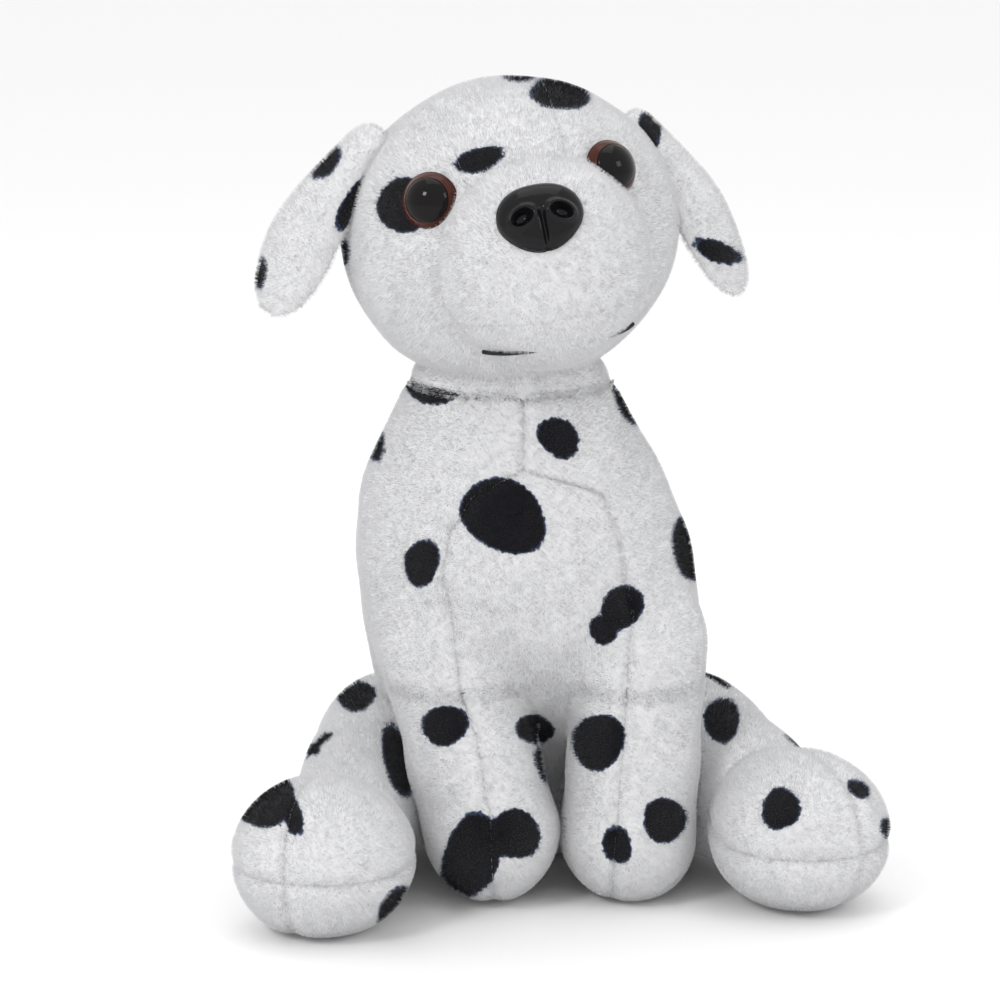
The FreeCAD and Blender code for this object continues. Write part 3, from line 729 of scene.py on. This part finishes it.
def plush_material():
    """Short white pile with printed near black spots, a little blue at the edge of the ink."""
    material, nodes, links, surface_node = new_material("spotted_plush")
    uv = nodes.new("ShaderNodeUVMap")
    uv.uv_map = "Spots"
    parts = nodes.new("ShaderNodeSeparateXYZ")
    links.new(uv.outputs[0], parts.inputs[0])
    inside = math_node(nodes, links, "SUBTRACT", parts.outputs[0], SPOT_ZERO)
    inside = math_node(nodes, links, "MULTIPLY", inside, SPOT_SPAN)
    rough_edge = math_node(nodes, links, "SUBTRACT", noise(nodes, links, 900.0, 3.0), 0.5)
    inside = math_node(nodes, links, "ADD", inside, math_node(nodes, links, "MULTIPLY", rough_edge, 1.3))
    ramp = nodes.new("ShaderNodeValToRGB")
    shifted = math_node(nodes, links, "ADD", math_node(nodes, links, "MULTIPLY", inside, 0.5), 0.5)
    links.new(shifted, ramp.inputs[0])
    stops = ramp.color_ramp.elements
    stops[0].position, stops[0].color = 0.42, WHITE_PILE
    stops[1].position, stops[1].color = 0.72, BLACK_PILE
    edge = stops.new(0.55)
    edge.color = SPOT_EDGE
    links.new(ramp.outputs[0], surface_node.inputs["Base Color"])
    surface_node.inputs["Roughness"].default_value = 0.95
    surface_node.inputs["Specular IOR Level"].default_value = 0.1
    surface_node.inputs["Sheen Weight"].default_value = 0.15
    surface_node.inputs["Sheen Roughness"].default_value = 0.6
    bump = nodes.new("ShaderNodeBump")
    bump.inputs["Strength"].default_value = 0.5
    bump.inputs["Distance"].default_value = 0.0006
    links.new(noise(nodes, links, 1500.0, 4.0), bump.inputs["Height"])
    links.new(bump.outputs[0], surface_node.inputs["Normal"])
    return material


def cloth_material(name, colour, scale):
    """Plain fibre or cloth that is hidden under the skin."""
    material, nodes, links, surface_node = new_material(name)
    surface_node.inputs["Base Color"].default_value = (*colour, 1)
    surface_node.inputs["Roughness"].default_value = 0.9
    bump = nodes.new("ShaderNodeBump")
    bump.inputs["Strength"].default_value = 0.6
    bump.inputs["Distance"].default_value = 0.0008
    links.new(noise(nodes, links, scale, 5.0), bump.inputs["Height"])
    links.new(bump.outputs[0], surface_node.inputs["Normal"])
    return material


def gloss_material(name, colour, roughness, bumps=0.0):
    material, nodes, links, surface_node = new_material(name)
    surface_node.inputs["Base Color"].default_value = (*colour, 1)
    surface_node.inputs["Roughness"].default_value = roughness
    surface_node.inputs["Specular IOR Level"].default_value = 0.15
    surface_node.inputs["Coat Weight"].default_value = 0.08
    surface_node.inputs["Coat Roughness"].default_value = 0.03
    if bumps:
        bump = nodes.new("ShaderNodeBump")
        bump.inputs["Strength"].default_value = bumps
        bump.inputs["Distance"].default_value = 0.0002
        links.new(noise(nodes, links, 700.0, 2.0), bump.inputs["Height"])
        links.new(bump.outputs[0], surface_node.inputs["Normal"])
    return material


PLUSH = plush_material()
FIBRE = cloth_material("polyester_fibre", (0.85, 0.85, 0.84), 900.0)
POUCH = cloth_material("pouch_cloth", (0.72, 0.71, 0.68), 2500.0)
PELLETS = cloth_material("pellets", (0.75, 0.76, 0.78), 500.0)
PUPIL = gloss_material("pupil_plastic", (0.004, 0.003, 0.003), 0.05)
IRIS = gloss_material("iris_plastic", (0.055, 0.013, 0.007), 0.12)
NOSE = gloss_material("nose_plastic", (0.006, 0.006, 0.007), 0.10, 0.25)
WASHER = gloss_material("washer_plastic", (0.80, 0.80, 0.78), 0.35)
BLACK_THREAD = cloth_material("black_thread", (0.008, 0.008, 0.010), 3000.0)
WHITE_THREAD = cloth_material("white_thread", (0.80, 0.80, 0.80), 3000.0)

# ---- face ----

def frame_at(local, *turns):
    """A frame on the head: its origin at the local point, turned by the given spins."""
    turn = HEAD_SPIN
    for axis, degrees in turns:
        turn = turn @ spin(axis, degrees)
    return head_point(local), turn


def lathe(name, profile, origin, turn, material, segments=96):
    """A closed turned piece, its axis the frame's z."""
    rings = len(profile)
    angles = np.arange(segments) / segments * 2 * math.pi
    points = [np.array((0.0, 0.0, profile[0][1]))[None]]
    for radius, height in profile[1:-1]:
        points.append(np.stack((radius * np.cos(angles), radius * np.sin(angles),
                                np.full(segments, height)), 1))
    points.append(np.array((0.0, 0.0, profile[-1][1]))[None])
    points = np.concatenate(points)
    last = len(points) - 1
    step = np.arange(segments)
    after = (step + 1) % segments
    faces = [np.stack((np.zeros(segments, int), 1 + after, 1 + step), 1)]
    for ring in range(rings - 3):
        a, b = 1 + ring * segments, 1 + (ring + 1) * segments
        faces.append(np.stack((a + step, a + after, b + step), 1))
        faces.append(np.stack((a + after, b + after, b + step), 1))
    top = 1 + (rings - 3) * segments
    faces.append(np.stack((top + step, top + after, np.full(segments, last)), 1))
    obj = add_mesh(name, points @ turn.T + origin, np.concatenate(faces), [material])
    return obj


EYE_R, PUPIL_R, DOME_RISE, PUPIL_SEAT = 6.0, 4.55, 4.4, 1.6


def dome_points(from_r, to_r, count):
    ball = (DOME_RISE ** 2 + EYE_R ** 2) / (2 * DOME_RISE)
    radii = np.linspace(from_r, to_r, count)
    return [(r, DOME_RISE - ball + math.sqrt(ball * ball - r * r)) for r in radii]


def make_eye(side):
    sign = SIGN[side]
    local = EYE_AT * (sign, 1, 1)
    origin, turn = frame_at(local, ("Z", sign * EYE_TURN), ("X", 90 - EYE_RAISE))
    iris = [(0, -9.0), (1.6, -9.0), (1.6, -0.4), (EYE_R - 0.3, -0.4), (EYE_R, 0.2)]
    iris += dome_points(EYE_R - 0.05, PUPIL_R + 0.1, 9)
    iris += [(PUPIL_R, PUPIL_SEAT), (0, PUPIL_SEAT)]
    ring = lathe("eye_ring_" + side, iris, origin, turn, IRIS)
    pupil = [(0, PUPIL_SEAT + 0.02)] + [(PUPIL_R - 0.02, PUPIL_SEAT + 0.02)]
    pupil += dome_points(PUPIL_R - 0.02, 0.4, 18) + [(0, DOME_RISE)]
    black = lathe("eye_pupil_" + side, pupil, origin, turn, PUPIL)
    finishes = ((ring, "eye_" + side, "iris_plastic"), (black, "pupil_" + side, "pupil_plastic"))
    for obj, node, slot_name in finishes:
        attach(obj, "head")
        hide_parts(node)


NOSE_UP, NOSE_RAISE = 33.0, 27.0
NOSE_HALF_W, NOSE_HALF_H, NOSE_T = 9.0, 7.2, 4.2


def nose_height(x, y):
    """The nose's front, in its own frame: wide rounded top, narrow foot, nostrils and a groove."""
    half_w = NOSE_HALF_W * (1 - 0.30 * np.clip(-y / NOSE_HALF_H, 0, 1) ** 1.4)
    ring = np.clip((np.abs(x) / half_w) ** 2.3 + (np.abs(y) / NOSE_HALF_H) ** 2.3, 0, 1)
    height = NOSE_T * (1 - ring) ** 0.42
    for sign in (-1, 1):
        across = (x - sign * 4.1) * 1.0 + (y + 0.2) * sign * 0.35
        gap = np.hypot(across / 1.75, (y + 0.2) / 1.45)
        height = height - 2.0 * np.exp(-gap ** 4 * 0.9)
        height = height + 0.55 * np.exp(-((gap - 1.45) / 0.35) ** 2) * (y > -3.5)
    groove = np.exp(-(x / 0.55) ** 2) / (1 + np.exp((y - 0.4) * 2.5))
    return height - 0.9 * groove, ring


def make_nose():
    up = math.radians(NOSE_UP)
    reach = MUZZLE_R - 0.8
    local = MUZZLE_AT + np.array((-MUZZLE_AT[0], -reach * math.cos(up), reach * math.sin(up)))
    origin, turn = frame_at(local, ("X", 90 - NOSE_RAISE))
    rings, segments = 64, 160
    angles = np.arange(segments) / segments * 2 * math.pi
    shares = np.sin(np.linspace(0, math.pi / 2, rings + 1)[1:])
    points = [np.zeros((1, 3))]
    points[0][0, 2] = nose_height(np.zeros(1), np.zeros(1))[0][0]
    for share in shares:
        x = NOSE_HALF_W * share * np.cos(angles)
        y = NOSE_HALF_H * share * np.sin(angles)
        narrow = 1 - 0.30 * np.clip(-y / NOSE_HALF_H, 0, 1) ** 1.4
        square = (np.abs(np.cos(angles)) ** 2.3 + np.abs(np.sin(angles)) ** 2.3) ** (-1 / 2.3)
        x, y = x * square * narrow, y * square
        height = np.maximum(nose_height(x, y)[0], -0.4)
        points.append(np.stack((x, y, height), 1))
    edge = points[-1].copy()
    for back in (-1.0, -2.2):
        points.append(edge * (0.97, 0.97, 0) + (0, 0, back))
    points.append(np.array(((0.0, 0.0, -2.2),)))
    points = np.concatenate(points)
    step = np.arange(segments)
    after = (step + 1) % segments
    faces = [np.stack((np.zeros(segments, int), 1 + step, 1 + after), 1)]
    for ring in range(rings + 1):
        a, b = 1 + ring * segments, 1 + (ring + 1) * segments
        faces.append(np.stack((a + step, b + step, a + after), 1))
        faces.append(np.stack((a + after, b + step, b + after), 1))
    top = 1 + (rings + 1) * segments
    faces.append(np.stack((top + step, np.full(segments, len(points) - 1), top + after), 1))
    obj = add_mesh("moulded_nose", points @ turn.T + origin, np.concatenate(faces), [NOSE])
    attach(obj, "head")
    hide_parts("nose")
    return origin, turn


MOUTH_DROP, MOUTH_SWEEP, THREAD_R = -16.5, 150.0, 0.45


def make_mouth():
    """The stitched mouth: a black thread low round the muzzle, held on the cloth."""
    ring = math.sqrt(MUZZLE_R ** 2 - MOUTH_DROP ** 2)
    angles = np.radians(-90 + np.linspace(-0.5, 0.5, 70) * MOUTH_SWEEP)
    ends = np.abs(np.linspace(-1, 1, 70))
    rise = 2.5 * ends ** 3
    local = MUZZLE_AT + np.stack((ring * np.cos(angles), ring * np.sin(angles), MOUTH_DROP + rise), 1)
    line = HEAD_CENTRE + local @ HEAD_SPIN.T
    for _ in range(3):
        slope = gradient(head_solid, line)
        slope /= np.linalg.norm(slope, axis=1)[:, None]
        line = line - slope * (head_solid(line) + 0.8 - 1.7 * ends ** 2)[:, None]
    curve = bpy.data.curves.new("mouth_stitching", "CURVE")
    curve.dimensions = "3D"
    curve.bevel_depth = THREAD_R * MM
    curve.bevel_resolution = 3
    curve.use_fill_caps = True
    spline = curve.splines.new("POLY")
    spline.points.add(len(line) - 1)
    for point, at in zip(spline.points, place(line)):
        point.co = (*at, 1)
    curve.materials.append(BLACK_THREAD)
    obj = bpy.data.objects.new("mouth_stitching", curve)
    bpy.context.scene.collection.objects.link(obj)
    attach(obj, "head")
    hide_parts("mouth_thread")


# ---- assembly ----
NECK_BLEND = ((0.0, 0.0, 90.0), (0.0, 0.0, 112.0))
NOD_BLEND = ((0.0, 0.0, NECK_SEAM_Z), (0.0, 0.0, 123.0))


def bend(pieces, a, b, start, end):
    for piece in pieces:
        Vector(place(start))
        Vector(place(end))
        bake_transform(piece)


def finish_panels(made, a, b, start, end, nodes_of=lambda name: [name]):
    for name, piece in made.items():
        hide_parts(*nodes_of(name))
    bend(made.values(), a, b, start, end)


def rename(made):
    """Pieces are called after the CAD node they stand for, with cloth_ in front."""
    for name, piece in made.items():
        piece.name = "cloth_" + name


def torso_names(middles):
    side = np.where(middle_value(middles) > 0, "body_side_left", "body_side_right")
    return np.where(gusset_value(middles) > 0, "chest_and_belly_gusset", side)


def make_torso():
    low, high = (-48, -44, -1), (38, 50, 117)
    made = sewn(torso_solid, low, high, (gusset_value, middle_value), torso_names,
                BODY_SPOTS, PLUSH, caps=(NECK_SEAM_Z + LAP / 2, LEG_TOP_Z - LAP))
    finish_panels(made, "torso", "neck", *NECK_BLEND)
    rename(made)

    def below_neck(points):
        return np.maximum(torso_solid(points), points[:, 2] - FILL_TOP_Z)
    top = (38, 50, FILL_TOP_Z + 3)
    fill = stuffing("fill_torso", below_neck, low, top, FIBRE, "torso_stuffing")
    bend([fill], "torso", "neck", *NECK_BLEND)


def make_front_leg(side):
    pivot, down = limb_axis(side)
    low = np.minimum(pivot, pivot + down * 52) - 19
    high = np.maximum(pivot, pivot + down * 52) + 19
    low[2], high[2] = -1, LEG_TOP_Z + LAP + 1
    seam = seam_right if side == "left" else seam_left

    def names(middles):
        outer = seam(middles) < 0
        return np.where(outer, "front_leg_outer_" + side, "front_leg_inner_" + side)
    spots = LEG_SPOTS[side] + BODY_SPOTS
    made = sewn(leg_solid(side), low, high, (seam,), names, spots, PLUSH, caps=(LEG_TOP_Z + LAP / 2,))
    body = "front_leg_" + side
    start, end = pivot + down * 1.5, pivot + down * 24
    finish_panels(made, "torso", body, start, end)
    rename(made)
    fill = stuffing("fill_front_leg_" + side, leg_solid(side), low, high, FIBRE,
                    "front_leg_stuffing_" + side)
    bend([fill], "torso", body, start, end)


SOLE_SEAM_Z = 15.5


def foot_seams(side):
    _, foot, along = hind_axis(side)
    turn = spin("Z", SIGN[side] * HIND[side][1])
    across = turn @ np.array((1.0, 0.0, 0.0)) * SIGN[side]

    def ankle(points):
        return (points - foot) @ along + 14.5

    def sole(points):
        heel_rise = np.clip((points - foot) @ -along, 0, 30) * 0.25
        return np.minimum(SOLE_SEAM_Z - points[:, 2] + heel_rise, ankle(points))

    def top(points):
        return (points - foot) @ across - 3.5
    return ankle, sole, top


def make_hind_leg(side):
    hip, foot, along = hind_axis(side)
    ankle, sole, top = foot_seams(side)

    def names(middles):
        upper = np.where(top(middles) > 0, "foot_upper_outer_" + side, "foot_upper_inner_" + side)
        lower = np.where(sole(middles) > 0, "foot_sole_" + side, upper)
        return np.where(ankle(middles) > 0, lower, "thigh_skin_" + side)
    low, high = np.minimum(hip, foot) - 24, np.maximum(hip, foot) + 24
    low[2] = -1

    def on_foot(points):
        return np.clip(ankle(points) + 1, 0, 1)
    made = sewn(hind_solid(side), low, high, (ankle, sole, top), names, HIND_SPOTS[side], PLUSH,
                blank=on_foot)
    body = "hind_leg_" + side
    start, end = hip, hip + along * 18
    finish_panels(made, "torso", body, start, end)
    rename(made)
    fill = stuffing("fill_hind_leg_" + side, hind_solid(side), low, high, FIBRE,
                    "hind_leg_stuffing_" + side)
    bend([fill], "torso", body, start, end)


def head_names(middles):
    local = head_local(middles)
    side = np.where(local[:, 0] + 1.0 > 0, "head_side_left", "head_side_right")
    names = np.where(head_gusset_value(middles) > 0, "head_gusset", side)
    names = np.where(muzzle_value(middles) > 0, "muzzle_panel", names)
    low = (chin_value(middles) > 0) & (muzzle_value(middles) > 0)
    return np.where(low, "chin_panel", names)


def make_head():
    low, high = HEAD_CENTRE - 40, HEAD_CENTRE + 40
    low[1] -= 14
    low[2] = NECK_SEAM_Z - LAP - 2
    seams = (head_gusset_value, muzzle_value, chin_value, lambda q: head_local(q)[:, 0] + 1.0)
    made = sewn(head_solid, low, high, seams, head_names, HEAD_SPOTS, PLUSH, groove=0.0,
                caps=(NECK_SEAM_Z - LAP / 2,))
    finish_panels(made, "neck", "head", *NOD_BLEND)
    rename(made)
    fill = stuffing("fill_head", head_solid, low, high, FIBRE, "head_stuffing")
    bend([fill], "neck", "head", *NOD_BLEND)


def make_ear(side):
    root, turn = ear_axes(side)
    along = turn[:, 0]
    tip = root + along * (EAR_LEN + 2)
    low, high = np.minimum(root, tip) - 16, np.maximum(root, tip) + 16

    def rim(points):
        return ((points - root) @ turn)[:, 2] + 0.025 * ((points - root) @ turn)[:, 1] ** 2

    def names(middles):
        return np.where(rim(middles) > 0, "ear_outer_" + side, "ear_inner_" + side)
    made = sewn(ear_solid(side), low, high, (rim,), names, EAR_SPOTS[side], PLUSH, groove=0.2)
    finish_panels(made, "head", "ear_" + side, root - along * 4, root + along * 9)
    rename(made)


def make_tail():
    low, high = TAIL_ROOT - (12, 14, 14), TAIL_ROOT + (12, 46, 42)

    def middle(points):
        return points[:, 0] - TAIL_ROOT[0]

    def names(middles):
        return np.where(middle(middles) > 0, "tail_skin_left", "tail_skin_right")
    made = sewn(tail_solid, low, high, (middle,), names, (), PLUSH, groove=0.4)
    start = TAIL_ROOT - (0, 4, 3)
    end = TAIL_ROOT + (0, 8, 6)
    finish_panels(made, "torso", "tail", start, end)
    rename(made)
    fill = stuffing("fill_tail", tail_solid, low, high, FIBRE, "tail_stuffing")
    bend([fill], "torso", "tail", start, end)


def paint_nodes():
    """The hard and hidden pieces keep their CAD shape and get their material."""
    finishes = {
        "eye_washer_left": WASHER, "eye_washer_right": WASHER, "nose_washer": WASHER,
        "pellet_pouch": POUCH, "pellet_fill": PELLETS, "neck_stuffing": FIBRE,
        "closing_seam_stitches": WHITE_THREAD,
    }
    for name, material in finishes.items():
        node = next(o for o in bpy.data.objects if o.get("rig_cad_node") == name)
        node.data.materials.clear()
        node.data.materials.append(material)


make_torso()
make_head()
for side in SIDES:
    make_front_leg(side)
    make_hind_leg(side)
    make_ear(side)
    make_eye(side)
make_tail()
make_nose()
make_mouth()
paint_nodes()


# ---- stage ----

def make_floor():
    """A pale floor that runs a long way back, with no edge in view."""
    size = 6.0
    mesh = bpy.data.meshes.new("floor")
    z = CAD_BOX[0][2]
    corners = [(-size, -size, z), (size, -size, z), (size, size, z), (-size, size, z)]
    mesh.from_pydata(corners, [], [(0, 1, 2, 3)])
    floor = bpy.data.objects.new("floor", mesh)
    mesh.materials.append(plain("floor_paint", (0.93, 0.93, 0.93), 0.9))
    bpy.context.scene.collection.objects.link(floor)


def add_light(name, location, aim, size, watts):
    data = bpy.data.lights.new(name, "AREA")
    data.shape = "SQUARE"
    data.size = size
    data.energy = watts
    light = bpy.data.objects.new(name, data)
    bpy.context.scene.collection.objects.link(light)
    light.location = location
    direction = Vector(aim) - Vector(location)
    light.rotation_mode = "QUATERNION"
    light.rotation_quaternion = direction.to_track_quat("-Z", "Y")


def make_lights():
    world = bpy.data.worlds.new("studio")
    world.use_nodes = True
    background = world.node_tree.nodes["Background"]
    background.inputs[0].default_value = (1.0, 1.0, 1.0, 1)
    background.inputs[1].default_value = 1.0
    bpy.context.scene.world = world
    middle = (0.0, 0.0, 0.09)
    add_light("softbox_left", (-0.55, -0.75, 0.75), middle, 0.22, 2.6)
    add_light("softbox_right", (0.75, -0.55, 0.60), middle, 0.30, 1.0)
    add_light("softbox_top", (0.0, 0.1, 1.1), middle, 0.7, 1.6)
    bpy.context.scene.view_settings.view_transform = "Standard"
    bpy.context.scene.view_settings.look = "None"


make_floor()
make_lights()
make_camera()
bpy.context.view_layer.update()
